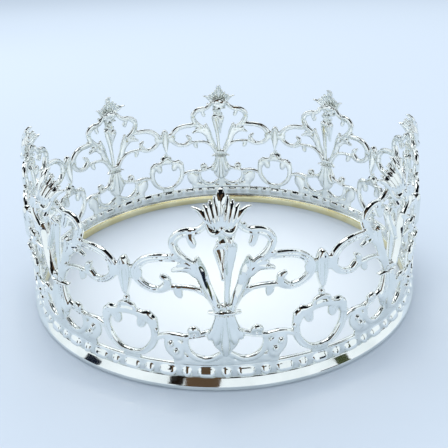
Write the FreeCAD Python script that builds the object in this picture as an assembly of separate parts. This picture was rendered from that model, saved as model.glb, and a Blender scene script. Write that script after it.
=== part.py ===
"""Rigid eight-motif filigree crown, in millimetres.

+Z is up, the origin is the centre of the crown's underside and one lotus motif faces -Y.
Every motif is designed flat, in arc length s along the wall and height z, and is then cut out
of a slightly tapering ring, so its castings follow the wall. All castings have plain backs.
"""
import FreeCAD, Part
import math
import os

from FreeCAD import Vector

# Driving dimensions
OUTER_RADIUS = 75.0
TOTAL_HEIGHT = 62.2
MOTIF_COUNT = 8
BAND_HEIGHT = 4.3
RAIL_HEIGHT = 4.5
WALL_THICKNESS = 2.0
FOOT_RADIUS = OUTER_RADIUS - 1.0
TIP_RADIUS = OUTER_RADIUS - 3.1
COLLAR_BOTTOM = 26.0
COLLAR_TOP = 27.2
STEM_BOTTOM = 29.0
NECK_TOP = 50.2
BEADS_PER_MOTIF = 10
BEAD_RADIUS = 1.5
BEAD_BAR_LENGTH = 2.4
BEAD_CENTRE_DEPTH = 0.9
WEB_INSET = 0.4
BAND_THICKNESS = 3.5
BAND_ROLL = 1.3
TEARDROP_RISE = 0.9
PETAL_RISE = 0.3
ROLL_RISE = 1.3

# Derived dimensions
MOTIF_ANGLE = 360.0 / MOTIF_COUNT
RAIL_TOP = BAND_HEIGHT + RAIL_HEIGHT
DESIGN_RADIUS = OUTER_RADIUS - 1.9
HALF_MOTIF = math.radians(MOTIF_ANGLE / 2) * DESIGN_RADIUS
BAND_INNER_RADIUS = OUTER_RADIUS - BAND_THICKNESS
PRISM_DEPTH = OUTER_RADIUS + 20.0
AXIS_Z = Vector(0, 0, 1)
ORIGIN = Vector(0, 0, 0)


def wall_radius(height):
    """Outer radius of the openwork wall, which leans in a little towards its tips."""
    share = (height - BAND_HEIGHT) / (TOTAL_HEIGHT - BAND_HEIGHT)
    return FOOT_RADIUS + (TIP_RADIUS - FOOT_RADIUS) * share


def flat_point(arc, height):
    """Point of the flat design at arc length along the wall from the motif's centre line."""
    return Vector(DESIGN_RADIUS * math.sin(arc / DESIGN_RADIUS), 0, height)


def mirrored(stations):
    """The same stroke on the other side of the motif's centre line."""
    return [(-arc, height, half) for arc, height, half in stations]


def stroke(stations):
    """Face of a round-ended band through stations of (arc, height, half width)."""
    centres = [flat_point(arc, height) for arc, height, _ in stations]
    halves = [half for _, _, half in stations]
    last = len(centres) - 1
    tangents = []
    for index in range(last + 1):
        step = centres[min(index + 1, last)] - centres[max(index - 1, 0)]
        tangents.append(step.normalize())
    normals = [Vector(-tangent.z, 0, tangent.x) for tangent in tangents]
    left = [c + n * h for c, n, h in zip(centres, normals, halves)]
    right = [c - n * h for c, n, h in zip(centres, normals, halves)]
    start_tip = centres[0] - tangents[0] * halves[0]
    end_tip = centres[-1] + tangents[-1] * halves[-1]
    left_side = Part.BSplineCurve()
    left_side.interpolate(left)
    right_side = Part.BSplineCurve()
    right_side.interpolate(right[::-1])
    edges = [
        left_side.toShape(),
        Part.Arc(left[-1], end_tip, right[-1]).toShape(),
        right_side.toShape(),
        Part.Arc(right[0], start_tip, left[0]).toShape(),
    ]
    return Part.Face(Part.Wire(edges))


def fretwork(centre_strokes, side_strokes):
    """One face of all strokes, with the side strokes on both sides of the centre line."""
    faces = [stroke(stations) for stations in centre_strokes]
    faces += [stroke(stations) for stations in side_strokes]
    faces += [stroke(mirrored(stations)) for stations in side_strokes]
    return faces[0].fuse(faces[1:]).removeSplitter()


def wall_shell(bottom, top, outward, inward):
    """Ring of the wall from bottom to top, between offsets from the wall's outer face."""
    corners = [
        Vector(0, wall_radius(bottom) - inward, bottom),
        Vector(0, wall_radius(bottom) + outward, bottom),
        Vector(0, wall_radius(top) + outward, top),
        Vector(0, wall_radius(top) - inward, top),
    ]
    section = Part.Face(Part.makePolygon(corners + corners[:1]))
    return section.revolve(ORIGIN, AXIS_Z, 360)


def casting(face, bottom, top, outward=0.0, inward=WALL_THICKNESS):
    """The front piece of wall that a flat design cuts out."""
    prism = face.extrude(Vector(0, -PRISM_DEPTH, 0))
    return prism.common(wall_shell(bottom, top, outward, inward))


def turned(profile, arc, radius):
    """Solid of revolution about an upright axis, at an arc length round the wall."""
    points = [Vector(r, 0, z) for r, z in profile]
    section = Part.Face(Part.makePolygon(points + points[:1]))
    solid = section.revolve(ORIGIN, AXIS_Z, 360)
    solid.translate(Vector(0, -radius, 0))
    solid.rotate(ORIGIN, AXIS_Z, math.degrees(arc / DESIGN_RADIUS))
    return solid


def base_band():
    """Plain rolled band with a full, rounded outer face, which rests on the head."""
    inner = BAND_INNER_RADIUS
    foot = Vector(0, OUTER_RADIUS - BAND_ROLL, 0)
    belly = Vector(0, OUTER_RADIUS, BAND_HEIGHT / 2)
    shoulder = Vector(0, OUTER_RADIUS - BAND_ROLL, BAND_HEIGHT)
    edges = [
        Part.LineSegment(Vector(0, inner, 0), foot).toShape(),
        Part.Arc(foot, belly, shoulder).toShape(),
        Part.LineSegment(shoulder, Vector(0, inner, BAND_HEIGHT)).toShape(),
        Part.LineSegment(Vector(0, inner, BAND_HEIGHT), Vector(0, inner, 0)).toShape(),
    ]
    return Part.Face(Part.Wire(edges)).revolve(ORIGIN, AXIS_Z, 360)


def round_bead(height):
    """Ball of the beaded rail."""
    return Part.makeSphere(BEAD_RADIUS, Vector(0, BEAD_CENTRE_DEPTH - wall_radius(height), height))


def long_bead(height):
    """Round-ended bar of the beaded rail, tangent to the wall."""
    along = Vector(1, 0, 0)
    centre = Vector(0, BEAD_CENTRE_DEPTH - wall_radius(height), height)
    start = centre - along * (BEAD_BAR_LENGTH / 2)
    end = centre + along * (BEAD_BAR_LENGTH / 2)
    bar = Part.makeCylinder(BEAD_RADIUS, BEAD_BAR_LENGTH, start, along)
    return bar.fuse([Part.makeSphere(BEAD_RADIUS, start), Part.makeSphere(BEAD_RADIUS, end)])


def bead_rail():
    """Beaded strip on top of the band: balls and bars in turn on a thin web."""
    middle = BAND_HEIGHT + RAIL_HEIGHT / 2
    web = wall_shell(BAND_HEIGHT, RAIL_TOP, -WEB_INSET, WALL_THICKNESS - WEB_INSET)
    count = MOTIF_COUNT * BEADS_PER_MOTIF
    beads = []
    for index in range(count):
        bead = round_bead(middle) if index % 2 == 0 else long_bead(middle)
        bead.rotate(ORIGIN, AXIS_Z, index * 360.0 / count)
        beads.append(bead)
    return web.fuse(beads)


def scroll_panel():
    """Upper openwork of a motif: C scrolls, acanthus arms and looped side scrolls."""
    arch = [(4.2, 53.0, 0.7), (5.4, 51.6, 0.9), (7.2, 50.7, 1.0), (9.8, 50.5, 1.1),
            (12.3, 49.5, 1.15), (13.7, 47.4, 1.1), (12.9, 44.9, 1.0), (11.2, 42.6, 1.0),
            (9.0, 40.8, 1.1)]
    arch_leaf = [(8.4, 50.3, 1.1), (8.3, 48.8, 1.0), (7.9, 47.5, 0.9)]
    arm = [(2.0, 27.0, 1.1), (3.6, 31.4, 1.15), (5.3, 35.0, 1.15), (6.5, 38.4, 1.25),
           (7.1, 41.0, 1.0), (7.2, 42.6, 0.5)]
    barb = [(7.2, 38.0, 1.2), (9.0, 39.4, 1.4), (11.2, 39.5, 0.9), (13.2, 38.9, 0.5)]
    top_bar = [(11.4, 42.8, 0.9), (15.0, 42.6, 1.0), (18.6, 42.4, 1.05), (22.0, 41.3, 1.15),
               (24.6, 39.0, 1.2), (25.2, 36.8, 1.1), (23.8, 34.6, 0.95), (21.0, 33.0, 0.75),
               (18.0, 32.9, 0.8), (15.6, 33.9, 0.8)]
    bud_tab = [(25.2, 37.4, 1.9), (26.4, 37.3, 2.0), (HALF_MOTIF - 1.8, 37.2, 1.7)]
    hook_leaf = [(17.6, 33.2, 0.9), (16.1, 34.6, 1.2), (16.2, 36.2, 0.95), (17.1, 37.2, 0.35)]
    low_branch = [(2.6, 28.6, 0.9), (4.6, 31.4, 0.8), (7.4, 33.3, 0.65), (10.6, 33.9, 0.6),
                  (13.4, 33.8, 0.65), (16.0, 33.9, 0.8)]
    drop_leaf = [(12.8, 33.8, 0.8), (12.8, 32.4, 1.2), (12.5, 31.6, 0.8)]
    root = [(-2.2, 28.0, 1.0), (0, 28.0, 1.0), (2.2, 28.0, 1.0)]
    side = [arch, arch_leaf, arm, barb, top_bar, bud_tab, hook_leaf, low_branch, drop_leaf]
    return casting(fretwork([root], side), COLLAR_TOP, TOTAL_HEIGHT)


def lotus_finial():
    """Fanned lotus flower that crowns a motif, over a scalloped roll and a small saucer."""
    middle_petal = [(0, 52.0, 1.0), (0, 56.8, 1.0), (0, 59.8, 1.2), (0, TOTAL_HEIGHT - 0.3, 0.3)]
    petals = [
        [(0.9, 52.0, 0.9), (1.2, 55.5, 0.9), (1.8, 58.0, 0.65), (2.1, 59.3, 0.25)],
        [(1.8, 52.0, 0.9), (2.5, 55.0, 0.9), (3.3, 57.3, 0.65), (3.9, 58.6, 0.25)],
        [(2.6, 52.2, 0.9), (3.7, 54.7, 0.9), (4.8, 56.5, 0.65), (5.8, 57.8, 0.25)],
        [(3.2, 52.6, 0.8), (4.6, 54.4, 0.9), (6.0, 56.1, 0.7), (7.8, 57.0, 0.25)],
    ]
    scalloped_roll = [(0, 51.8, 0.6), (1.9, 51.2, 0.75), (3.3, 51.8, 0.65), (4.1, 53.6, 0.45)]
    saucer = [(-2.6, 50.6, 0.5), (2.6, 50.6, 0.5)]
    fan = casting(fretwork([middle_petal], petals), NECK_TOP, TOTAL_HEIGHT, PETAL_RISE)
    cup = casting(fretwork([saucer], [scalloped_roll]), NECK_TOP, TOTAL_HEIGHT, ROLL_RISE)
    return fan.fuse(cup)


def stem():
    """Centre stem of a motif: ringed neck, twisted ribbon, plain blade and raised teardrop."""
    neck = [(0.1, 46.8, 1.1), (0.1, 48.6, 1.3), (0.1, NECK_TOP - 0.8, 1.2)]
    ribbon = [(0.6, 48.4, 0.8), (2.2, 47.8, 0.9), (3.0, 46.6, 0.8)]
    blade = [(0.7, 28.0, 0.7), (0.9, 33.0, 0.8), (1.4, 38.5, 1.1), (2.0, 43.0, 1.5),
             (2.3, 45.6, 1.6)]
    teardrop = [(-0.1, 38.0, 0.4), (-0.25, 41.0, 0.8), (-0.5, 44.0, 1.3), (-0.55, 45.6, 1.65)]
    flat = casting(fretwork([neck, ribbon, blade], []), STEM_BOTTOM, NECK_TOP)
    raised = casting(stroke(teardrop), STEM_BOTTOM, NECK_TOP, TEARDROP_RISE)
    return flat.fuse(raised)


def collar():
    """Saucer between the stem and the bell foot, wider round the wall than across it."""
    profile = [(0, COLLAR_BOTTOM), (3.6, COLLAR_BOTTOM), (4.6, COLLAR_BOTTOM + 0.5),
               (4.6, COLLAR_TOP - 0.25), (4.2, COLLAR_TOP), (0, COLLAR_TOP)]
    saucer = turned(profile, 0, 0)
    squeeze = FreeCAD.Matrix()
    squeeze.scale(Vector(1, 0.4, 1))
    saucer = saucer.transformGeometry(squeeze)
    saucer.translate(Vector(0, WALL_THICKNESS / 2 - wall_radius(COLLAR_TOP), 0))
    return saucer


def bell_foot():
    """Lower openwork of a motif: fluted bell, curled arms, beaded pods and the foot web."""
    bell = [(0, 24.6, 3.0), (0, 22.0, 3.2), (0, 19.4, 4.2), (0, 17.4, 4.6), (0, 15.8, 3.2),
            (0, 13.6, 2.0), (0, 10.6, 2.4)]
    neck = [(0, 23.4, 3.0), (0, 26.6, 3.0)]
    foot_web = [(-14.4, 9.2, 1.0), (0, 9.2, 1.3), (14.4, 9.2, 1.0)]
    arm = [(2.4, 22.0, 0.8), (4.2, 19.8, 0.85), (7.0, 18.8, 0.8), (9.8, 18.2, 0.8),
           (11.6, 17.9, 0.8)]
    curl = [(8.4, 19.2, 0.9), (8.8, 20.2, 1.5), (9.2, 20.5, 1.4)]
    frame = [(11.4, 17.9, 0.8), (11.5, 15.6, 0.85), (10.8, 13.2, 0.85), (9.0, 11.4, 0.8),
             (6.6, 10.6, 0.8), (4.2, 10.9, 0.75), (1.6, 12.4, 0.7)]
    pod = [(15.8, 16.6, 2.0), (15.0, 14.4, 2.9), (14.2, 12.2, 2.1)]
    pod_arch = [(11.4, 17.6, 0.8), (13.4, 18.0, 0.75), (16.0, 18.1, 0.7), (18.2, 17.6, 0.8),
                (19.6, 16.9, 0.8)]
    pod_root = [(14.2, 12.6, 1.5), (14.0, 9.6, 1.6)]
    infill = [(9.6, 10.2, 1.0), (12.6, 10.6, 1.5)]
    face = fretwork([bell, neck, foot_web], [arm, curl, frame, pod, pod_arch, pod_root, infill])
    return casting(face, RAIL_TOP, COLLAR_BOTTOM)


def heart_loop():
    """Open heart between two motifs, with fluted lobes, a domed cap and a short root."""
    ring = [(0, 10.4, 0.65), (3.4, 11.0, 0.85), (6.2, 13.2, 1.15), (7.9, 16.4, 1.25),
            (8.1, 19.8, 1.25), (7.6, 22.6, 1.5)]
    outer_lobe = [(7.7, 21.0, 1.4), (7.2, 22.9, 1.8), (6.3, 24.0, 2.0)]
    inner_lobe = [(4.9, 23.9, 2.0), (4.2, 22.6, 1.9), (4.0, 21.4, 1.6)]
    shoulder = [(0, 25.0, 1.1), (2.3, 25.0, 1.1), (4.6, 24.8, 1.1)]
    cap = [(-1.4, 25.4, 1.5), (0, 26.2, 2.0), (1.4, 25.4, 1.5)]
    root = [(-2.0, 9.4, 1.0), (2.0, 9.4, 1.0)]
    sides = [ring, outer_lobe, inner_lobe, shoulder]
    return casting(fretwork([root, cap], sides), RAIL_TOP, TOTAL_HEIGHT)


def bud():
    """Spindle bud with a pointed dome, standing on a small ball between two motifs."""
    profile = [(0, 27.7), (0.7, 27.8), (1.0, 28.6), (0.7, 29.4), (0.5, 29.6), (1.1, 31.4),
               (1.7, 34.0), (1.9, 36.6), (1.9, 39.4), (1.5, 40.5), (0.7, 41.4), (0, 41.9)]
    return turned(profile, 0, wall_radius(36.0) - WALL_THICKNESS / 2)


def placed(shape, index, offset=0.0):
    """Copy of a front piece, turned to the place of motif number index."""
    copy = shape.copy()
    copy.rotate(ORIGIN, AXIS_Z, (index + offset) * MOTIF_ANGLE)
    return copy


def write_step(name, shape):
    """Write one named piece, which must be a single valid solid."""
    solids = shape.Solids
    sound = len(solids) == 1 and solids[0].isValid()
    print(f"{name}: {len(solids)} solid, {shape.Volume:.1f} mm3, {'ok' if sound else 'BAD'}")
    solids[0].exportStep(f"parts/{name}.step")


def main():
    os.makedirs("parts", exist_ok=True)
    finial = lotus_finial()
    centre_stem = stem()
    spindle = bud()
    heart = heart_loop()
    heart_right = placed(heart, 0, 0.5)
    heart_left = placed(heart, 0, -0.5)
    buds = [placed(spindle, 0, 0.5), placed(spindle, 0, -0.5)]
    upper = scroll_panel().cut([finial, centre_stem] + buds)
    lower = bell_foot().cut([heart_left, heart_right])
    heart = heart.cut(spindle)
    write_step("base_band", base_band())
    write_step("bead_rail", bead_rail())
    motif_pieces = {
        "scroll_panel": upper,
        "lotus_finial": finial,
        "stem": centre_stem.cut(finial),
        "collar": collar(),
        "bell_foot": lower,
    }
    between_pieces = {"heart_loop": heart, "bud": spindle}
    for index in range(MOTIF_COUNT):
        for name, shape in motif_pieces.items():
            write_step(f"{name}_{index + 1}", placed(shape, index))
        for name, shape in between_pieces.items():
            write_step(f"{name}_{index + 1}", placed(shape, index, 0.5))


main()
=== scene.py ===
"""Silver-plated filigree crown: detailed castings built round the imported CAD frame.

Castings are designed flat, in millimetres, over (arc, depth, height): arc along the wall from the
casting's centre line, depth outwards from the middle of the wall, height above the table. They
are then wrapped round the wall and repeated. The studio round the crown is in metres.
"""
import math

import bmesh
import bpy
import numpy as np
from mathutils import Matrix, Vector


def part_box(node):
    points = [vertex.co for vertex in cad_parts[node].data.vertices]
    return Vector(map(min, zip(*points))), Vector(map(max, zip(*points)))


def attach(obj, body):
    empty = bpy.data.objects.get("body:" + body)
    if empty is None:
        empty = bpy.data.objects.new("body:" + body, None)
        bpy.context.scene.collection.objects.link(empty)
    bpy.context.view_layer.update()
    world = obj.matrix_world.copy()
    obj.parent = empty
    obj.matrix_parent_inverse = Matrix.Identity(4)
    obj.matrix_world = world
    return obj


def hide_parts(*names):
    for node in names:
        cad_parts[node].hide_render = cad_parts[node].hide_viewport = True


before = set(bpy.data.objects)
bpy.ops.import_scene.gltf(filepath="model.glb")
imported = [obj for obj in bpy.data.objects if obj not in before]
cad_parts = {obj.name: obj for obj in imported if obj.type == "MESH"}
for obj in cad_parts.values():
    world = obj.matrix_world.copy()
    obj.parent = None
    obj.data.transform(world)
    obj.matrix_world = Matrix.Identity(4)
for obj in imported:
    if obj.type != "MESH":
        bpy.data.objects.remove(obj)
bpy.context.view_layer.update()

# Sizes of the crown, worked out from the frame
MM = 0.001
MOTIF_COUNT = 8
BAND_LOW, BAND_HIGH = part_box("base_band")
RAIL_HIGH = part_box("bead_rail")[1]
TIP_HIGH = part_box("lotus_finial_1")[1]
OUTER_RADIUS = round((BAND_HIGH.x - BAND_LOW.x) / 2 / MM, 1)
TOTAL_HEIGHT = TIP_HIGH.z / MM
BAND_HEIGHT = BAND_HIGH.z / MM
RAIL_TOP = RAIL_HIGH.z / MM
DESIGN_RADIUS = OUTER_RADIUS - 1.9
FOOT_RADIUS = OUTER_RADIUS - 1.0
TIP_RADIUS = OUTER_RADIUS - 3.1
HALF_WALL = 1.0

# Heights at which castings are cut off flat
ROOT_BOTTOM = RAIL_TOP - 0.3
BELL_TOP = 26.2
SCROLLS_BOTTOM = 27.2
STEM_BOTTOM = 29.0
FLOWER_BOTTOM = 49.0
NECK_TOP = 50.2

# The relief's grid, the relaxing of its skin and the limits of its field
CELL = 0.18
FINE_CELL = 0.14
FINEST_CELL = 0.12
SPAN_STEPS = 8
RELAX_ROUNDS = 8
RELAX_IN = 0.5
RELAX_OUT = -0.52
FAR = 9.0
CLIP = 1.0
ROOM = 1.0

# What all strokes share
BLEND = 0.28
BACK_POWER = 2.0
THINNEST = 0.35
SHORTEST_RUN = 1e-6

# The band
RING_STEPS = 360
BAND_THICKNESS = 3.5
BAND_EDGE = 0.3
FOOT_ROUND = 1.4
FOOT_TURN = 75
FOOT_STEPS = 6
RIDGE_HEIGHT = BAND_HEIGHT * 0.44
RIDGE_HALF = 0.1
RIDGE_STEP = 0.06
BEVEL_TOP = BAND_HEIGHT - 0.15
BEVEL_LEAN = 1.5
BEVEL_POWER = 1.05
BEVEL_STEPS = 8

# The beaded rail
BEAD_PAIRS = 5 * MOTIF_COUNT
BEAD_SAMPLES = 40
BEAD_HALF = 1.65
BEAD_DEPTH = 1.5
BEAD_LEAN = 0.42
BEAD_POWER = 2.6
BAR_STRAIGHT = 1.15
WEB_SETBACK = 0.2
WEB_HALF = 0.7

# The camera that fits the photograph, in degrees and millimetres
CAMERA_ELEVATION = 24.65
CAMERA_ROLL = -1.84
CAMERA_DISTANCE = 219.7
CAMERA_AIM = (0.6, 0, 19.9)
CAMERA_SENSOR = 36.0
CAMERA_LENS = 43.858929

# The studio, in metres
FLOOR_HALF = 8.0
CROWN_MIDDLE = Vector((0, 0, 0.03))
CANOPY_HEIGHT = 0.62
CANOPY_STEPS = 48
SURROUND_RADIUS = 0.6
SURROUND_LOW = 0.001
SURROUND_HIGH = 0.12
SURROUND_STRETCHES = ((-24, -4), (150, 215))

# Colours of the studio
SKY_COLOUR = (0.87, 0.94, 1.0)
FLOOR_COLOUR = (0.58, 0.64, 0.72)
GLOW_COLOUR = (1.0, 0.85, 0.6)
CANOPY_COLOUR = (0.008, 0.008, 0.009)
SURROUND_COLOUR = (0.01, 0.008, 0.007)
BLACK = (0.010, 0.013, 0.024)
BROWN = (0.012, 0.007, 0.004)
TAN = (0.13, 0.075, 0.04)
OLIVE = (0.06, 0.07, 0.03)


def wall_radius(height):
    """Outer radius of the wall at a height; the wall leans in a little towards its tips."""
    share = (height - BAND_HEIGHT) / (TOTAL_HEIGHT - BAND_HEIGHT)
    return FOOT_RADIUS + (TIP_RADIUS - FOOT_RADIUS) * share


# --- Relief: a field over (arc, depth, height), negative inside the metal ---

def melted(first, second, blend):
    """Two fields joined, with a small fillet where they meet."""
    mix = np.clip(0.5 + 0.5 * (first - second) / blend, 0.0, 1.0)
    return first + (second - first) * mix - blend * mix * (1.0 - mix)


class Relief:
    """Block of space round a flat design, in which strokes and balls melt together."""

    def __init__(self, arc, depth, height, cell=CELL):
        self.cell = cell
        self.axes = [np.arange(low, high + cell, cell) for low, high in (arc, depth, height)]
        self.field = np.full([len(axis) for axis in self.axes], FAR)

    def window(self, low, high):
        """Slices of the block between two corners, and the coordinates inside them."""
        slices = []
        for axis, first, last in zip(self.axes, low, high):
            start = max(int(np.searchsorted(axis, first)) - 1, 0)
            stop = min(int(np.searchsorted(axis, last)) + 1, len(axis))
            slices.append(slice(start, max(stop, start)))
        coords = [axis[cut] for axis, cut in zip(self.axes, slices)]
        return tuple(slices), coords

    def melt(self, slices, shape, blend=BLEND):
        """Adds a shape to the metal."""
        self.field[slices] = melted(self.field[slices], shape, blend)

    def mirror(self):
        """Repeats the metal on the other side of the block's middle."""
        self.field = melted(self.field, self.field[::-1], BLEND)

    def trim(self, low, high=math.inf):
        """Cuts the casting off flat at a low and, if given, a high height."""
        heights = self.axes[2][None, None, :]
        self.field = np.maximum(self.field, np.maximum(low - heights, heights - high))

    def soften(self):
        """Evens the field out a little, so its skin has no ragged spots."""
        self.field = np.clip(self.field, -CLIP, CLIP)
        for axis in range(3):
            before = np.roll(self.field, 1, axis)
            after = np.roll(self.field, -1, axis)
            self.field = 0.25 * before + 0.5 * self.field + 0.25 * after

    def close(self):
        """Empties the outermost samples, so the skin is closed there."""
        for axis in range(3):
            ends = [slice(None)] * 3
            ends[axis] = [0, -1]
            self.field[tuple(ends)] = CLIP


def smooth_rows(rows):
    """Catmull-Rom curve through rows of numbers."""
    rows = np.array(rows, float)
    padded = np.vstack([2 * rows[0] - rows[1], rows, 2 * rows[-1] - rows[-2]])
    share = np.arange(SPAN_STEPS)[:, None] / SPAN_STEPS
    spans = []
    for before, start, end, after in zip(padded, padded[1:], padded[2:], padded[3:]):
        slope = (end - before) * share
        bend = (2 * before - 5 * start + 4 * end - after) * share**2
        turn = (3 * start - before - 3 * end + after) * share**3
        spans.append(0.5 * (2 * start + slope + bend + turn))
    return np.vstack(spans + [rows[-1:]])


def reeded(across, count):
    """Height of count rounded reeds side by side, from 0 in the valleys to 1 on the crests."""
    phase = (np.clip(across, -1.0, 1.0) + 1.0) / 2.0 * count
    local = 2.0 * (phase - np.floor(phase)) - 1.0
    return np.sqrt(np.clip(1.0 - local**2, 0.0, 1.0))


def nearest_span(rows, arcs, heights):
    """At each (arc, height): the place across the band, -1 to 1, its half width and its lift."""
    arc = arcs[:, None]
    height = heights[None, :]
    best = np.full((len(arcs), len(heights)), np.inf)
    across = np.zeros_like(best)
    half = np.ones_like(best)
    raised = np.zeros_like(best)
    for start, end in zip(rows, rows[1:]):
        run = end[:2] - start[:2]
        length = max(np.hypot(*run), SHORTEST_RUN)
        share = ((arc - start[0]) * run[0] + (height - start[1]) * run[1]) / length**2
        share = np.clip(share, 0.0, 1.0)
        gap_arc = arc - (start[0] + run[0] * share)
        gap_height = height - (start[1] + run[1] * share)
        distance = np.hypot(gap_arc, gap_height)
        width = start[2] + (end[2] - start[2]) * share
        side = (run[0] * gap_height - run[1] * gap_arc) / length
        score = distance - width
        nearer = score < best
        best = np.where(nearer, score, best)
        across = np.where(nearer, np.where(side < 0, -distance, distance) / width, across)
        half = np.where(nearer, width, half)
        raised = np.where(nearer, start[3] + (end[3] - start[3]) * share, raised)
    return across, half, raised


def stroke(relief, stations, front=1.1, back=0.9, power=4.0, reeds=1, reed_depth=0.0, keel=0.0,
           blend=BLEND):
    """A band along stations of (arc, height, half width[, lift]), melted into the relief.

    It stands out from its lift by front and back, and by less in front where it is narrow. Its
    front is round at power 2 and nearly flat at power 5. Reeds are cut in along it by reed_depth,
    and a keel pares both sides away from a middle ridge; both are shares of front.
    """
    rows = smooth_rows([(*row, 0.0)[:4] for row in stations])
    widest = rows[:, 2].max() + 2 * BLEND
    lift = rows[:, 3]
    low = (rows[:, 0].min() - widest, lift.min() - back - ROOM, rows[:, 1].min() - widest)
    high = (rows[:, 0].max() + widest, lift.max() + front + ROOM, rows[:, 1].max() + widest)
    slices, (arcs, depths, heights) = relief.window(low, high)
    across, half, raised = nearest_span(rows, arcs, heights)
    crest = 1.0 - reed_depth * (1.0 - reeded(across, reeds))
    crest -= keel * np.abs(np.clip(across, -1.0, 1.0))
    thickness = THINNEST + (1.0 - THINNEST) * np.minimum(half, 1.0)
    front_size = front * thickness * crest
    depth = depths[None, :, None] - raised[:, None, :]
    reach = np.where(depth > 0, depth / front_size[:, None, :], -depth / back)
    roundness = np.where(depth > 0, power, BACK_POWER)
    shape = (np.abs(across[:, None, :])**roundness + reach**roundness)**(1.0 / roundness) - 1.0
    relief.melt(slices, shape * np.minimum(half[:, None, :], back), blend)


def ball(relief, arc, height, radius, lift, blend=BLEND):
    """A ball, melted into the relief."""
    reach = radius + 3 * blend
    slices, (arcs, depths, heights) = relief.window(
        (arc - reach, lift - reach, height - reach), (arc + reach, lift + reach, height + reach))
    distance = np.sqrt((arcs[:, None, None] - arc)**2 + (depths[None, :, None] - lift)**2
                       + (heights[None, None, :] - height)**2)
    relief.melt(slices, distance - radius, blend)


# --- From a relief to a mesh ---

def edge_crossings(field, axis):
    """Grid edges along an axis where the field changes sign, and how far along each it does."""
    near = [slice(None)] * 3
    far = [slice(None)] * 3
    near[axis] = slice(0, -1)
    far[axis] = slice(1, None)
    start = field[tuple(near)]
    end = field[tuple(far)]
    crossing = (start < 0.0) != (end < 0.0)
    share = np.where(crossing, start / np.where(crossing, start - end, 1.0), 0.0)
    return crossing, share


def quads_round_edges(field, axis, crossing, index, closed):
    """One quad round each crossed edge along an axis, joining the points of its four cells."""
    others = [other for other in range(3) if other != axis]
    inner = [slice(None)] * 3
    for other in others:
        inner[other] = slice(1, -1)
    spots = np.argwhere(crossing[tuple(inner)])
    spots[:, others] += 1
    if closed and axis == 0:
        spots = spots[spots[:, 0] < len(index) - 1]
    corners = []
    for steps in ((1, 1), (0, 1), (0, 0), (1, 0)):
        corner = spots.copy()
        corner[:, others] -= steps
        corners.append(index[tuple(corner.T)])
    quads = np.stack(corners, axis=1)
    starts_inside = field[tuple(spots.T)] < 0.0
    flip = ~starts_inside if axis == 1 else starts_inside
    quads[flip] = quads[flip][:, ::-1]
    return quads


def surface(relief, closed=False):
    """Surface nets: points and quads where the field changes sign; closed joins the arc's ends."""
    cells = np.array(relief.field.shape) - 1
    total = np.zeros((3, *cells))
    count = np.zeros(cells, int)
    crossings = []
    for axis in range(3):
        crossing, share = edge_crossings(relief.field, axis)
        crossings.append(crossing)
        others = [other for other in range(3) if other != axis]
        for steps in ((0, 0), (0, 1), (1, 0), (1, 1)):
            cut = [slice(None)] * 3
            for other, step in zip(others, steps):
                cut[other] = slice(step, cells[other] + step)
            hit = crossing[tuple(cut)]
            count += hit
            total[axis] += np.where(hit, share[tuple(cut)], 0.0)
            for other, step in zip(others, steps):
                total[other] += hit * step
    used = count > 0
    if closed:
        used[-1] = False
    index = np.full(cells, -1)
    index[used] = np.arange(used.sum())
    if closed:
        index[-1] = index[0]
    places = np.argwhere(used)
    points = np.empty((len(places), 3))
    for axis in range(3):
        offset = total[axis][used] / count[used]
        points[:, axis] = relief.axes[axis][0] + (places[:, axis] + offset) * relief.cell
    quads = [quads_round_edges(relief.field, axis, crossing, index, closed)
             for axis, crossing in enumerate(crossings)]
    return points, np.vstack(quads)


def on_wall(points):
    """Wraps (arc, depth, height) in millimetres round the crown, in metres."""
    arc, depth, height = points.T
    angle = arc / DESIGN_RADIUS
    radius = wall_radius(height) - HALF_WALL + depth
    return np.stack([radius * np.sin(angle), -radius * np.cos(angle), height], axis=1) * MM


def relaxed(points, quads):
    """Takes the grid's small steps off a closed skin, without shrinking it."""
    starts = quads.ravel()
    ends = quads[:, [1, 2, 3, 0]].ravel()
    count = np.bincount(starts, minlength=len(points))
    for factor in (RELAX_IN, RELAX_OUT) * RELAX_ROUNDS:
        middle = [np.bincount(starts, points[ends, axis], len(points)) / count for axis in range(3)]
        points = points + factor * (np.stack(middle, axis=1) - points)
    return points


def wrapped_mesh(name, relief, closed=False):
    """Smooth-shaded mesh of a relief's skin, wrapped round the wall."""
    points, quads = surface(relief, closed)
    points = relaxed(on_wall(points), quads)
    mesh = bpy.data.meshes.new(name)
    mesh.from_pydata([tuple(p) for p in points.tolist()], [], [tuple(q) for q in quads.tolist()])
    mesh.validate()
    mesh.shade_smooth()
    return mesh


def cast(name, relief):
    """Mesh of a finished casting."""
    relief.soften()
    relief.close()
    return wrapped_mesh(name, relief)


# --- Upper openwork of a motif ---

def c_scroll(relief):
    """C scroll beside the flower, with a leaf inside it and a rib along its outer curve."""
    stroke(relief, [(4.2, 53.2, 0.8, 0.3), (5.4, 51.7, 1.0, 0.1), (7.2, 50.7, 1.1),
                    (9.8, 50.4, 1.25), (12.2, 49.4, 1.35), (13.6, 47.3, 1.35), (13.0, 45.0, 1.3),
                    (11.3, 42.8, 1.3), (9.0, 41.4, 1.1)], reeds=2, reed_depth=0.6, power=3.8)
    stroke(relief, [(8.6, 50.4, 1.2, 0.1), (8.5, 48.8, 1.1, 0.4), (7.9, 47.3, 1.0, 0.6)], power=3.8)
    stroke(relief, [(10.6, 42.6, 0.5, 0.6), (12.4, 44.8, 0.75, 0.8), (13.4, 47.0, 0.6, 0.7)],
           keel=0.8)


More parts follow.
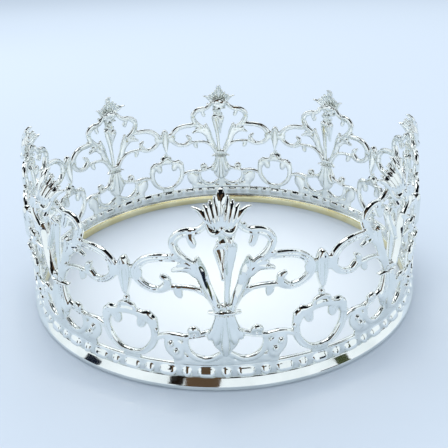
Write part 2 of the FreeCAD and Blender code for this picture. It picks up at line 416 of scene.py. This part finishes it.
def acanthus_arm(relief):
    """Ridged arm that rises beside the stem, with two leaves at its top."""
    stroke(relief, [(2.0, 27.6, 1.3, 0.5), (3.6, 31.4, 1.5, 0.6), (5.2, 35.0, 1.7, 0.3),
                    (6.3, 38.4, 1.9), (7.0, 41.0, 1.4, -0.2), (7.1, 42.6, 0.8)],
           front=1.7, keel=0.85)
    stroke(relief, [(7.2, 38.0, 1.4), (9.2, 40.0, 1.8), (11.6, 39.7, 1.1), (14.0, 38.9, 0.6)],
           front=1.2, keel=0.5)
    stroke(relief, [(7.6, 41.0, 0.9), (9.6, 40.8, 1.2), (12.2, 40.8, 0.7)], front=0.9)


def side_scroll(relief):
    """Looped scroll that reaches the next motif, with a reeded boss and a hook leaf."""
    stroke(relief, [(11.4, 42.9, 1.0), (15.0, 42.7, 1.15), (18.6, 42.5, 1.2), (22.0, 41.5, 1.3),
                    (24.6, 39.2, 1.4), (25.2, 36.8, 1.35), (23.9, 34.6, 1.2), (21.2, 33.0, 1.05),
                    (18.0, 32.8, 1.05), (15.6, 33.8, 0.95)], reeds=3, reed_depth=0.6, power=3.8)
    stroke(relief, [(25.2, 37.4, 2.1), (26.4, 37.3, 2.2), (27.4, 37.2, 2.0)],
           front=0.8, reeds=4, reed_depth=0.2)
    stroke(relief, [(17.6, 33.4, 1.0), (16.0, 34.7, 1.2), (15.9, 36.2, 1.1, 0.3),
                    (17.1, 37.3, 0.7, 0.6)], front=1.3, power=2.2)


def tendril(relief):
    """Tendril from the arm's foot to the side scroll, with a drop leaf under it."""
    stroke(relief, [(2.6, 28.6, 1.0), (4.6, 31.4, 0.9), (7.4, 33.3, 0.75), (10.6, 33.9, 0.7),
                    (13.4, 33.8, 0.75), (16.0, 33.9, 0.9)], power=2.2)
    stroke(relief, [(13.0, 33.8, 0.8), (12.9, 32.4, 1.3), (12.4, 31.2, 0.8)], front=1.0, power=2.2)


def scroll_panel():
    """Upper openwork, both halves, with three small beads on its right half."""
    relief = Relief(arc=(-29.2, 29.2), depth=(-1.8, 2.8), height=(26.6, 54.6))
    c_scroll(relief)
    acanthus_arm(relief)
    side_scroll(relief)
    tendril(relief)
    ball(relief, 13.8, 43.7, 0.75, 0.7)
    relief.mirror()
    for arc, height, radius in ((5.9, 52.7, 0.7), (12.4, 39.9, 0.6), (6.4, 34.0, 0.6)):
        ball(relief, arc, height, radius, 1.0, blend=0.15)
    stroke(relief, [(-2.2, 28.0, 1.0), (0, 28.0, 1.0), (2.2, 28.0, 1.0)])
    relief.trim(SCROLLS_BOTTOM)
    return cast("scroll_panel_mesh", relief)


# --- Flower, stem and collar of a motif ---

def side_petals(relief):
    """Four keeled petals of one half of the flower, from the outermost one inwards."""
    petals = (
        [(2.9, 52.8, 0.5, 1.1), (4.1, 54.4, 0.8, 1.1), (5.4, 55.9, 0.85, 0.4),
         (6.7, 56.7, 0.55, -0.3), (8.0, 57.1, 0.3, -0.6)],
        [(2.2, 52.4, 0.5, 1.9), (3.0, 54.2, 0.8, 1.8), (3.9, 56.2, 0.95, 0.4),
         (4.7, 57.4, 0.55, -0.8)],
        [(1.45, 52.2, 0.45, 2.3), (2.1, 54.6, 0.7, 2.2), (2.7, 57.0, 0.9, 0.6),
         (3.1, 58.5, 0.55, -0.8)],
        [(0.75, 52.2, 0.42, 2.6), (1.05, 55.0, 0.6, 2.5), (1.5, 57.8, 0.8, 0.8),
         (1.8, 59.7, 0.5, -0.9)],
    )
    for petal in petals:
        stroke(relief, petal, front=1.2, keel=0.45, blend=0.04)


def lotus_finial():
    """Fanned lotus flower over a scalloped roll and a small saucer."""
    relief = Relief(arc=(-9.6, 9.6), depth=(-2.6, 4.8), height=(49.2, 63.4), cell=FINE_CELL)
    side_petals(relief)
    stroke(relief, [(0.0, 52.4, 0.6, 2.9), (1.0, 51.6, 0.8, 3.0), (2.2, 51.2, 0.9, 2.8),
                    (3.2, 51.9, 0.8, 2.2), (4.0, 53.6, 0.6, 1.4)],
           front=1.0, power=2.0, blend=0.08)
    stroke(relief, [(0.0, 52.8, 2.4, 0.6), (2.0, 53.0, 1.6, 0.4)], front=0.9)
    relief.mirror()
    stroke(relief, [(0, 53.2, 0.5, 2.7), (0, 56.0, 0.65, 2.5), (0, 58.2, 0.9, 1.8),
                    (0, 59.9, 1.5, 0.8), (0, 61.4, 0.9, -0.4), (0, 62.4, 0.4, -1.2)],
           power=5.0, keel=0.35, blend=0.04)
    ball(relief, 0, 52.5, 0.8, 3.0, blend=0.1)
    stroke(relief, [(-2.9, 50.6, 0.5, 0.6), (0, 50.4, 0.55, 1.2), (2.9, 50.6, 0.5, 0.6)], front=1.3)
    relief.trim(FLOWER_BOTTOM, TOTAL_HEIGHT)
    return cast("lotus_finial_mesh", relief)


def neck(relief):
    """Ringed neck with two facets that lean back, and a twisted ribbon on its right."""
    stroke(relief, [(-1.2, 47.9, 0.6, 0.3), (0.1, 47.7, 0.75, 1.3), (1.4, 47.9, 0.6, 0.3)],
           front=1.4, power=2.0, blend=0.06)
    stroke(relief, [(0.0, 48.2, 1.1, 1.8), (0.0, 49.9, 1.0, 0.4)], front=0.7, power=5.0, blend=0.06)
    stroke(relief, [(2.2, 47.9, 0.5, 1.6), (2.6, 49.9, 1.1, -0.1)],
           front=0.7, power=5.0, blend=0.06)
    stroke(relief, [(0.1, 46.8, 0.9), (0.1, 48.6, 0.9), (0.1, 50.2, 0.8)], front=0.8)
    for shift in (0.0, 1.0):
        stroke(relief, [(0.4 + shift, 49.6, 0.35, 0.6), (1.2 + shift, 48.3, 0.55, 1.0),
                        (1.9 + shift, 47.2, 0.55, 0.8), (2.7 + shift, 46.4, 0.35, 0.3)],
               power=2.0, blend=0.06)


def teardrop(relief):
    """Scooped teardrop: a bed that leans back, a round rim about it and a ball at its tip."""
    stroke(relief, [(-0.15, 37.8, 0.5, 2.0), (-0.3, 41.0, 0.9, 0.9), (-0.5, 44.0, 1.4, -0.4),
                    (-0.6, 45.4, 1.6, -0.9)], front=0.9, power=5.0)
    stroke(relief, [(-0.15, 38.2, 0.35, 2.1), (-1.0, 41.0, 0.35, 1.5), (-1.85, 44.0, 0.4, 1.0),
                    (-2.1, 45.6, 0.45, 0.8), (-0.6, 46.9, 0.7, 0.6), (0.9, 45.6, 0.45, 0.8),
                    (0.8, 44.0, 0.4, 1.0), (0.35, 41.0, 0.35, 1.5), (-0.15, 38.2, 0.35, 2.1)],
           front=0.7, power=2.0, blend=0.06)
    ball(relief, -0.15, 37.8, 0.6, 2.2, blend=0.1)


def stem():
    """Centre stem: neck, plain blade and, in front of the blade, the teardrop."""
    relief = Relief(arc=(-3.6, 5.2), depth=(-1.8, 3.8), height=(28.0, 51.4), cell=FINE_CELL)
    neck(relief)
    stroke(relief, [(0.7, 28.4, 0.8), (0.9, 33.0, 0.85), (1.4, 38.5, 1.1), (2.0, 43.0, 1.5),
                    (2.4, 45.8, 1.7)], front=0.9, keel=0.5)
    teardrop(relief)
    relief.trim(STEM_BOTTOM, NECK_TOP)
    return cast("stem_mesh", relief)


def collar():
    """Little saucer with a roll under it and three petal tips standing in it."""
    relief = Relief(arc=(-5.6, 5.6), depth=(-2.4, 4.4), height=(24.6, 29.8), cell=FINEST_CELL)
    stroke(relief, [(-4.5, 26.0, 0.35, -0.2), (-2.4, 26.5, 0.65, 0.6), (0, 26.7, 0.75, 0.9),
                    (2.4, 26.5, 0.65, 0.6), (4.5, 26.0, 0.35, -0.2)],
           front=1.7, power=2.0, blend=0.08)
    stroke(relief, [(-2.7, 25.7, 0.5), (0, 25.5, 0.6), (2.7, 25.7, 0.5)],
           front=1.5, back=1.3, power=2.0, blend=0.08)
    for place in (-1, 0, 1):
        stroke(relief, [(2.1 * place, 27.0, 0.9, 0.4), (2.3 * place, 27.9, 0.85, 1.0),
                        (2.7 * place, 28.8, 0.5, 1.5)], front=1.1, power=2.0, blend=0.04)
    return cast("collar_mesh", relief)


# --- Lower openwork of a motif ---

def curled_arm(relief):
    """Arm that sweeps down and out from the bell, with a curled leaf on it."""
    stroke(relief, [(2.4, 22.4, 0.8), (4.2, 20.0, 0.9), (7.0, 18.9, 0.85), (9.8, 18.3, 0.85),
                    (11.6, 17.9, 0.85)], reeds=2, reed_depth=0.6)
    stroke(relief, [(8.2, 19.2, 0.8), (7.9, 20.3, 0.8, 0.5), (8.8, 21.1, 0.9, 0.8),
                    (9.9, 20.5, 1.0, 0.6), (9.7, 19.3, 0.9)], power=2.0, blend=0.12)


def beaded_pod(relief):
    """C curve, pod with two beads, the arm on to the heart and the roots on the rail."""
    stroke(relief, [(11.4, 17.9, 0.8), (11.5, 15.6, 0.9), (10.8, 13.2, 0.9), (9.0, 11.4, 0.85),
                    (6.6, 10.6, 0.8), (4.2, 10.9, 0.75), (1.6, 12.4, 0.7)])
    stroke(relief, [(15.8, 16.4, 2.1), (15.0, 14.4, 3.0), (14.2, 12.2, 2.1)], front=1.2, power=3.2)
    stroke(relief, [(11.4, 17.6, 0.8), (13.4, 18.1, 0.8), (16.0, 18.3, 0.75), (18.2, 17.8, 0.8),
                    (20.4, 16.8, 0.85)])
    stroke(relief, [(14.2, 12.6, 1.5), (14.0, 9.6, 1.6)], front=0.8)
    stroke(relief, [(9.6, 10.2, 1.0), (12.6, 10.6, 1.5)], front=0.7)
    ball(relief, 15.8, 16.0, 0.95, 1.4, blend=0.08)
    ball(relief, 14.3, 13.6, 0.95, 1.4, blend=0.08)


def side_flutes(relief):
    """Two round flutes of one half of the bell, and the flute behind them."""
    stroke(relief, [(1.1, 25.4, 0.6, 0.5), (1.7, 21.4, 0.95, 0.7), (2.5, 18.4, 1.3, 0.8),
                    (2.8, 17.0, 1.1, 0.5)], front=1.3, power=2.0, blend=0.06)
    stroke(relief, [(1.3, 25.2, 0.8, -0.4), (2.1, 21.4, 1.1, -0.5), (3.2, 18.4, 1.4, -0.5)],
           front=0.6, blend=0.06)
    stroke(relief, [(2.2, 25.4, 0.55, 0.2), (3.1, 21.8, 0.9, 0.4), (4.1, 19.4, 1.15, 0.5),
                    (4.5, 18.3, 0.95, 0.3)], front=1.3, power=2.0, blend=0.06)


def bell_body(relief):
    """Body of the bell, with its middle flute in front and behind."""
    stroke(relief, [(0, 26.2, 2.5), (0, 22.0, 2.9), (0, 19.4, 3.9), (0, 17.6, 4.1), (0, 15.9, 2.8),
                    (0, 13.6, 1.8), (0, 10.6, 2.4)], front=0.8)
    stroke(relief, [(0, 25.2, 0.8, -0.5), (0, 20.0, 1.1, -0.6), (0, 14.5, 1.2, -0.5)],
           front=0.6, blend=0.06)
    stroke(relief, [(0, 25.4, 0.6, 0.9), (0, 20.0, 1.0, 1.1), (0, 16.0, 1.25, 1.2),
                    (0, 13.2, 1.0, 0.7)], front=1.3, power=2.0, blend=0.06)


def bell_foot():
    """Lower openwork: fluted bell, curled arms, beaded pods and the web on the rail."""
    relief = Relief(arc=(-21.0, 21.0), depth=(-1.8, 3.4), height=(8.2, 26.8))
    curled_arm(relief)
    beaded_pod(relief)
    side_flutes(relief)
    relief.mirror()
    bell_body(relief)
    stroke(relief, [(-14.4, 9.2, 1.0), (0, 9.2, 1.3), (14.4, 9.2, 1.0)], front=0.6)
    relief.trim(ROOT_BOTTOM, BELL_TOP)
    return cast("bell_foot_mesh", relief)


# --- Castings between two motifs ---

def heart_half(relief):
    """Half of the open heart, with its two fluted lobes and its small side bead."""
    stroke(relief, [(0, 10.4, 0.7), (3.4, 11.0, 0.9), (6.2, 13.2, 1.2), (7.9, 16.4, 1.3),
                    (8.1, 19.8, 1.3), (7.7, 22.6, 1.5)], reeds=2, reed_depth=0.5)
    stroke(relief, [(7.7, 20.8, 1.4), (7.2, 22.5, 1.7), (6.2, 23.5, 1.9)],
           front=1.3, power=2.2, reeds=2, reed_depth=0.5)
    stroke(relief, [(5.1, 23.4, 1.8), (4.4, 22.2, 1.8), (4.0, 20.9, 1.5)],
           front=1.3, power=2.2, reeds=3, reed_depth=0.5)
    stroke(relief, [(0, 24.8, 1.1), (2.3, 24.5, 1.1), (4.6, 23.9, 1.1)])
    ball(relief, 9.0, 19.8, 0.75, 0.8)


def heart_loop():
    """Open heart between two motifs, with fluted lobes, a domed cap and a short root."""
    relief = Relief(arc=(-10.2, 10.2), depth=(-1.8, 3.4), height=(8.2, 29.4))
    heart_half(relief)
    relief.mirror()
    stroke(relief, [(-2.7, 25.4, 0.5, 0.5), (-2.2, 26.9, 0.5, 0.9), (0, 27.8, 0.5, 1.1),
                    (2.2, 26.9, 0.5, 0.9), (2.7, 25.4, 0.5, 0.5)], power=2.0, blend=0.1)
    stroke(relief, [(-1.4, 25.4, 1.4), (0, 26.0, 1.8), (1.4, 25.4, 1.4)], front=0.7)
    stroke(relief, [(-2.0, 9.4, 1.0), (2.0, 9.4, 1.0)], front=0.7)
    relief.trim(ROOT_BOTTOM)
    return cast("heart_loop_mesh", relief)


def bud():
    """Ridged spindle bud with a pointed dome, on a small ball."""
    relief = Relief(arc=(-2.8, 2.8), depth=(-2.8, 3.2), height=(26.9, 42.8), cell=FINE_CELL)
    stroke(relief, [(0, 30.0, 0.4), (0, 32.0, 1.2), (0, 34.4, 1.85), (0, 37.0, 2.1),
                    (0, 39.4, 1.9)], front=1.7, back=1.5, power=2.6, reeds=4, reed_depth=0.45)
    stroke(relief, [(0, 39.6, 1.8, 0.2), (0, 40.6, 1.3), (0, 41.5, 0.45)],
           front=1.6, back=1.5, power=2.0, blend=0.1)
    stroke(relief, [(0, 28.6, 0.5), (0, 30.4, 0.5)], front=0.9)
    ball(relief, 0, 28.6, 1.05, 0.3)
    return cast("bud_mesh", relief)


# --- The two rings ---

def band_profile():
    """Outline of the band as (radius, height), from its inner face's foot round to its top."""
    inner = OUTER_RADIUS - BAND_THICKNESS
    profile = [(inner, BAND_EDGE), (inner + BAND_EDGE, 0.0)]
    for step in range(FOOT_STEPS + 1):
        angle = math.radians(-90 + FOOT_TURN * step / FOOT_STEPS)
        profile.append((OUTER_RADIUS - FOOT_ROUND + FOOT_ROUND * math.cos(angle),
                        FOOT_ROUND + FOOT_ROUND * math.sin(angle)))
    profile.append((OUTER_RADIUS, RIDGE_HEIGHT - RIDGE_HALF))
    bevel_bottom = RIDGE_HEIGHT + RIDGE_HALF
    for step in range(BEVEL_STEPS + 1):
        share = step / BEVEL_STEPS
        profile.append((OUTER_RADIUS - RIDGE_STEP - BEVEL_LEAN * share**BEVEL_POWER,
                        bevel_bottom + (BEVEL_TOP - bevel_bottom) * share))
    profile += [(OUTER_RADIUS - BEVEL_LEAN - BAND_EDGE, BAND_HEIGHT),
                (inner + BAND_EDGE, BAND_HEIGHT), (inner, BAND_HEIGHT - BAND_EDGE)]
    return profile


def base_band():
    """Rolled band: a bevel that leans back, a turned-under foot and a flat inner face."""
    profile = band_profile()
    builder = bmesh.new()
    rows = []
    for index in range(RING_STEPS):
        angle = 2 * math.pi * index / RING_STEPS
        across, along = math.sin(angle), -math.cos(angle)
        rows.append([builder.verts.new((radius * across * MM, radius * along * MM, height * MM))
                     for radius, height in profile])
    for row, after in zip(rows, rows[1:] + rows[:1]):
        for index in range(len(profile)):
            other = (index + 1) % len(profile)
            face = builder.faces.new((row[index], after[index], after[other], row[other]))
            face.smooth = True
            face.material_index = 1 if other == 0 else 0
    mesh = bpy.data.meshes.new("base_band_mesh")
    builder.to_mesh(mesh)
    builder.free()
    return mesh


def bead_rail():
    """The whole beaded rail: leaning balls and bars in turn on a thin web."""
    period = 2 * math.pi * DESIGN_RADIUS / BEAD_PAIRS
    cell = period / BEAD_SAMPLES
    middle = (BAND_HEIGHT + RAIL_TOP) / 2
    relief = Relief(arc=(0, period - cell), depth=(-3.0, 3.0),
                    height=(BAND_HEIGHT - ROOM, RAIL_TOP + ROOM), cell=cell)
    arcs = relief.axes[0][:BEAD_SAMPLES, None, None]
    depths = relief.axes[1][None, :, None]
    heights = relief.axes[2][None, None, :] - middle
    to_ball = np.minimum(arcs, period - arcs)
    to_bar = np.maximum(np.abs(arcs - period / 2) - BAR_STRAIGHT, 0.0)
    across = np.minimum(np.hypot(to_ball, heights), np.hypot(to_bar, heights)) / BEAD_HALF
    out = np.abs(depths + BEAD_LEAN * heights) / BEAD_DEPTH
    beads = (across**BEAD_POWER + out**BEAD_POWER)**(1 / BEAD_POWER) - 1.0
    web = np.maximum(np.abs(depths + WEB_SETBACK) - WEB_HALF,
                     np.abs(heights) - (RAIL_TOP - BAND_HEIGHT) / 2)
    everything = (slice(None), slice(None), slice(None))
    relief.field = web + 0 * arcs
    relief.melt(everything, beads * BEAD_HALF)
    relief.soften()
    relief.field = np.concatenate([relief.field] * BEAD_PAIRS + [relief.field[:2]], axis=0)
    return wrapped_mesh("bead_rail_mesh", relief, closed=True)


# --- Materials ---

def noise(tree, place, scale, detail):
    """Noise texture in the piece's own space."""
    texture = tree.nodes.new("ShaderNodeTexNoise")
    texture.inputs["Scale"].default_value = scale
    texture.inputs["Detail"].default_value = detail
    tree.links.new(place.outputs["Object"], texture.inputs["Vector"])
    return texture


def plated(name, bright, dull, roughness):
    """Polished plate: its tone and polish drift a little, and it has faint ripples."""
    material = bpy.data.materials.new(name)
    material.use_nodes = True
    tree = material.node_tree
    nodes = tree.nodes
    links = tree.links
    shader = nodes["Principled BSDF"]
    shader.inputs["Metallic"].default_value = 1.0
    place = nodes.new("ShaderNodeTexCoord")
    drift = noise(tree, place, scale=120.0, detail=4.0)
    tones = nodes.new("ShaderNodeValToRGB")
    tones.color_ramp.elements[0].position = 0.3
    tones.color_ramp.elements[0].color = (*dull, 1)
    tones.color_ramp.elements[1].position = 0.6
    tones.color_ramp.elements[1].color = (*bright, 1)
    links.new(drift.outputs["Fac"], tones.inputs["Fac"])
    links.new(tones.outputs["Color"], shader.inputs["Base Color"])
    haze = nodes.new("ShaderNodeMapRange")
    haze.inputs["From Min"].default_value = 0.3
    haze.inputs["From Max"].default_value = 0.7
    haze.inputs["To Min"].default_value = roughness * 1.6
    haze.inputs["To Max"].default_value = roughness
    links.new(drift.outputs["Fac"], haze.inputs["Value"])
    links.new(haze.outputs["Result"], shader.inputs["Roughness"])
    ripple = noise(tree, place, scale=420.0, detail=2.0)
    bump = nodes.new("ShaderNodeBump")
    bump.inputs["Strength"].default_value = 0.12
    bump.inputs["Distance"].default_value = 0.1 * MM
    links.new(ripple.outputs["Fac"], bump.inputs["Height"])
    links.new(bump.outputs["Normal"], shader.inputs["Normal"])
    return material


def silver():
    """Bright silver plate."""
    return plated("silver_plate", bright=(0.90, 0.92, 0.89), dull=(0.80, 0.83, 0.80),
                  roughness=0.05)


def champagne():
    """Pale gold wash on the inner face of the band."""
    return plated("champagne_wash", bright=(0.98, 0.89, 0.58), dull=(0.88, 0.76, 0.42),
                  roughness=0.12)


def matt(name, colour):
    """Plain matt material without any shine, for the studio."""
    material = bpy.data.materials.new(name)
    material.use_nodes = True
    shader = material.node_tree.nodes["Principled BSDF"]
    shader.inputs["Base Color"].default_value = (*colour, 1)
    shader.inputs["Roughness"].default_value = 1.0
    shader.inputs["Specular IOR Level"].default_value = 0.0
    return material


# --- Placing ---

def added(name, data):
    """New object in the scene."""
    obj = bpy.data.objects.new(name, data)
    bpy.context.scene.collection.objects.link(obj)
    return obj


def piece(name, mesh, node, turn):
    """One piece on the crown, turned to its place, standing for its CAD node."""
    obj = added(name, mesh)
    obj.rotation_euler = (0, 0, turn)
    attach(obj, "root")
    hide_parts(node)


def place_castings(makers, offset, metal):
    """Casts each kind once and repeats it round the crown, offset by a share of a motif."""
    for kind, make in makers.items():
        mesh = make()
        mesh.materials.append(metal)
        for index in range(MOTIF_COUNT):
            node = f"{kind}_{index + 1}"
            turn = 2 * math.pi * (index + offset) / MOTIF_COUNT
            piece(f"{node}_relief", mesh, node, turn)


def place_rings(metal, wash):
    """The band, with the wash on its inner face, and the beaded rail."""
    band = base_band()
    band.materials.append(metal)
    band.materials.append(wash)
    piece("base_band_rolled", band, "base_band", 0.0)
    rail = bead_rail()
    rail.materials.append(metal)
    piece("bead_rail_cast", rail, "bead_rail", 0.0)


# --- Camera and studio ---

def camera():
    """Camera close in front of the crown, looking down on it a little."""
    elevation = math.radians(CAMERA_ELEVATION)
    roll = math.radians(CAMERA_ROLL)
    back = Vector((0, -math.cos(elevation), math.sin(elevation)))
    right = Vector((1, 0, 0))
    up = back.cross(right)
    across = right * math.cos(roll) + up * math.sin(roll)
    upright = up * math.cos(roll) - right * math.sin(roll)
    data = bpy.data.cameras.new("camera")
    data.sensor_width = CAMERA_SENSOR
    data.lens = CAMERA_LENS
    data.clip_start = 0.01
    data.dof.use_dof = False
    obj = added("camera", data)
    place = Matrix((across, upright, back)).transposed().to_4x4()
    place.translation = Vector(CAMERA_AIM) * MM + back * (CAMERA_DISTANCE * MM)
    obj.matrix_world = place
    bpy.context.scene.camera = obj


def rectangle(name, width, tall):
    """Flat rectangle round its own middle."""
    x, y = width / 2, tall / 2
    mesh = bpy.data.meshes.new(name)
    mesh.from_pydata([(-x, -y, 0), (x, -y, 0), (x, y, 0), (-x, y, 0)], [], [(0, 1, 2, 3)])
    return mesh


def floor():
    """Large pale floor."""
    mesh = rectangle("floor", 2 * FLOOR_HALF, 2 * FLOOR_HALF)
    mesh.materials.append(matt("floor", FLOOR_COLOUR))
    added("floor", mesh)


def sky():
    """Even pale surroundings."""
    world = bpy.data.worlds.new("studio")
    bpy.context.scene.world = world
    world.use_nodes = True
    background = world.node_tree.nodes["Background"]
    background.inputs["Color"].default_value = (*SKY_COLOUR, 1)
    background.inputs["Strength"].default_value = 1.08


def softbox(name, place, size, energy):
    """Soft lamp aimed at the table under the crown's middle."""
    lamp = bpy.data.lights.new(name, "AREA")
    lamp.size = size
    lamp.energy = energy
    obj = added(name, lamp)
    obj.location = place
    obj.rotation_euler = (-obj.location).to_track_quat("-Z", "Y").to_euler()


def glow():
    """Narrow warm lamp above the crown, which brightens the floor inside it."""
    lamp = bpy.data.lights.new("glow", "AREA")
    lamp.size = 0.03
    lamp.spread = math.radians(32)
    lamp.energy = 0.015
    lamp.color = GLOW_COLOUR
    obj = added("glow", lamp)
    obj.location = (0, -0.01, 0.3)
    obj.visible_glossy = False


def reflected_only(name, mesh, colour):
    """Stage object that shows only in reflections, and casts no shadow."""
    mesh.materials.append(matt(name, colour))
    obj = added(name, mesh)
    obj.visible_camera = False
    obj.visible_diffuse = False
    obj.visible_shadow = False
    return obj


def card(name, azimuth, distance, height, width, tall, colour):
    """Card that faces the crown; azimuth is in degrees from the front, to the right."""
    obj = reflected_only(name, rectangle(name, width, tall), colour)
    angle = math.radians(azimuth)
    place = Vector((distance * math.sin(angle), -distance * math.cos(angle), height))
    obj.location = place
    obj.rotation_euler = (CROWN_MIDDLE - place).to_track_quat("Z", "Y").to_euler()


def cards():
    """Cards round the crown, which make the dark marks on the band and on the castings."""
    card("card_camera", -22.9, distance=0.232, height=0.162, width=0.031, tall=0.236, colour=BROWN)
    card("card_tan", -11.0, distance=0.232, height=0.14, width=0.070, tall=0.26, colour=TAN)
    card("card_left", -57.4, distance=0.165, height=0.020, width=0.022, tall=0.034, colour=BLACK)
    card("card_right", 56.4, distance=0.365, height=0.09, width=0.045, tall=0.16, colour=OLIVE)
    card("card_arm", 47.5, distance=0.342, height=0.028, width=0.062, tall=0.052, colour=BLACK)
    for azimuth in (-95, 95):
        card(f"card_side_{azimuth}", azimuth, distance=0.4, height=0.24, width=0.10, tall=0.24,
             colour=BLACK)
    for azimuth in (125, 175, 230):
        card(f"card_back_{azimuth}", azimuth, distance=0.35, height=0.14, width=0.05, tall=0.26,
             colour=BROWN)


def surround():
    """Low dark stretches, as of a room beyond a bright table."""
    builder = bmesh.new()
    for first, last in SURROUND_STRETCHES:
        row = []
        for degrees in range(first, last + 1):
            angle = math.radians(degrees)
            across, along = SURROUND_RADIUS * math.sin(angle), -SURROUND_RADIUS * math.cos(angle)
            row.append([builder.verts.new((across, along, height))
                        for height in (SURROUND_LOW, SURROUND_HIGH)])
        for here, after in zip(row, row[1:]):
            builder.faces.new((here[0], after[0], after[1], here[1]))
    mesh = bpy.data.meshes.new("surround")
    builder.to_mesh(mesh)
    builder.free()
    reflected_only("surround", mesh, SURROUND_COLOUR)


def canopy_circle(builder, radius, x, y):
    """Points of a level circle round (x, y) at the canopy's height."""
    turns = [2 * math.pi * index / CANOPY_STEPS for index in range(CANOPY_STEPS)]
    return [builder.verts.new((radius * math.cos(turn) + x, radius * math.sin(turn) + y,
                               CANOPY_HEIGHT)) for turn in turns]


def canopy():
    """Dark disc overhead, with a bright hole, which draws dark lines along upper edges."""
    builder = bmesh.new()
    rim = canopy_circle(builder, radius=0.64, x=0.0, y=-0.2)
    hole = canopy_circle(builder, radius=0.17, x=-0.02, y=0.08)
    for index in range(CANOPY_STEPS):
        after = (index + 1) % CANOPY_STEPS
        builder.faces.new((rim[index], rim[after], hole[after], hole[index]))
    mesh = bpy.data.meshes.new("canopy")
    builder.to_mesh(mesh)
    builder.free()
    reflected_only("canopy", mesh, CANOPY_COLOUR)


def light():
    """Pale sky, soft lamps, and dark shapes that only reflections show."""
    sky()
    softbox("key", (-0.3, 0.9, 2.2), size=1.8, energy=20.0)
    softbox("fill", (-0.7, 0.5, 0.5), size=0.4, energy=0.5)
    glow()
    canopy()
    surround()
    cards()


plate = silver()
gold = champagne()
at_motif = {"scroll_panel": scroll_panel, "lotus_finial": lotus_finial, "stem": stem,
            "collar": collar, "bell_foot": bell_foot}
between_motifs = {"heart_loop": heart_loop, "bud": bud}
place_castings(at_motif, 0.0, plate)
place_castings(between_motifs, 0.5, plate)
place_rings(plate, gold)

camera()
floor()
light()
bpy.context.scene.view_settings.view_transform = "Standard"
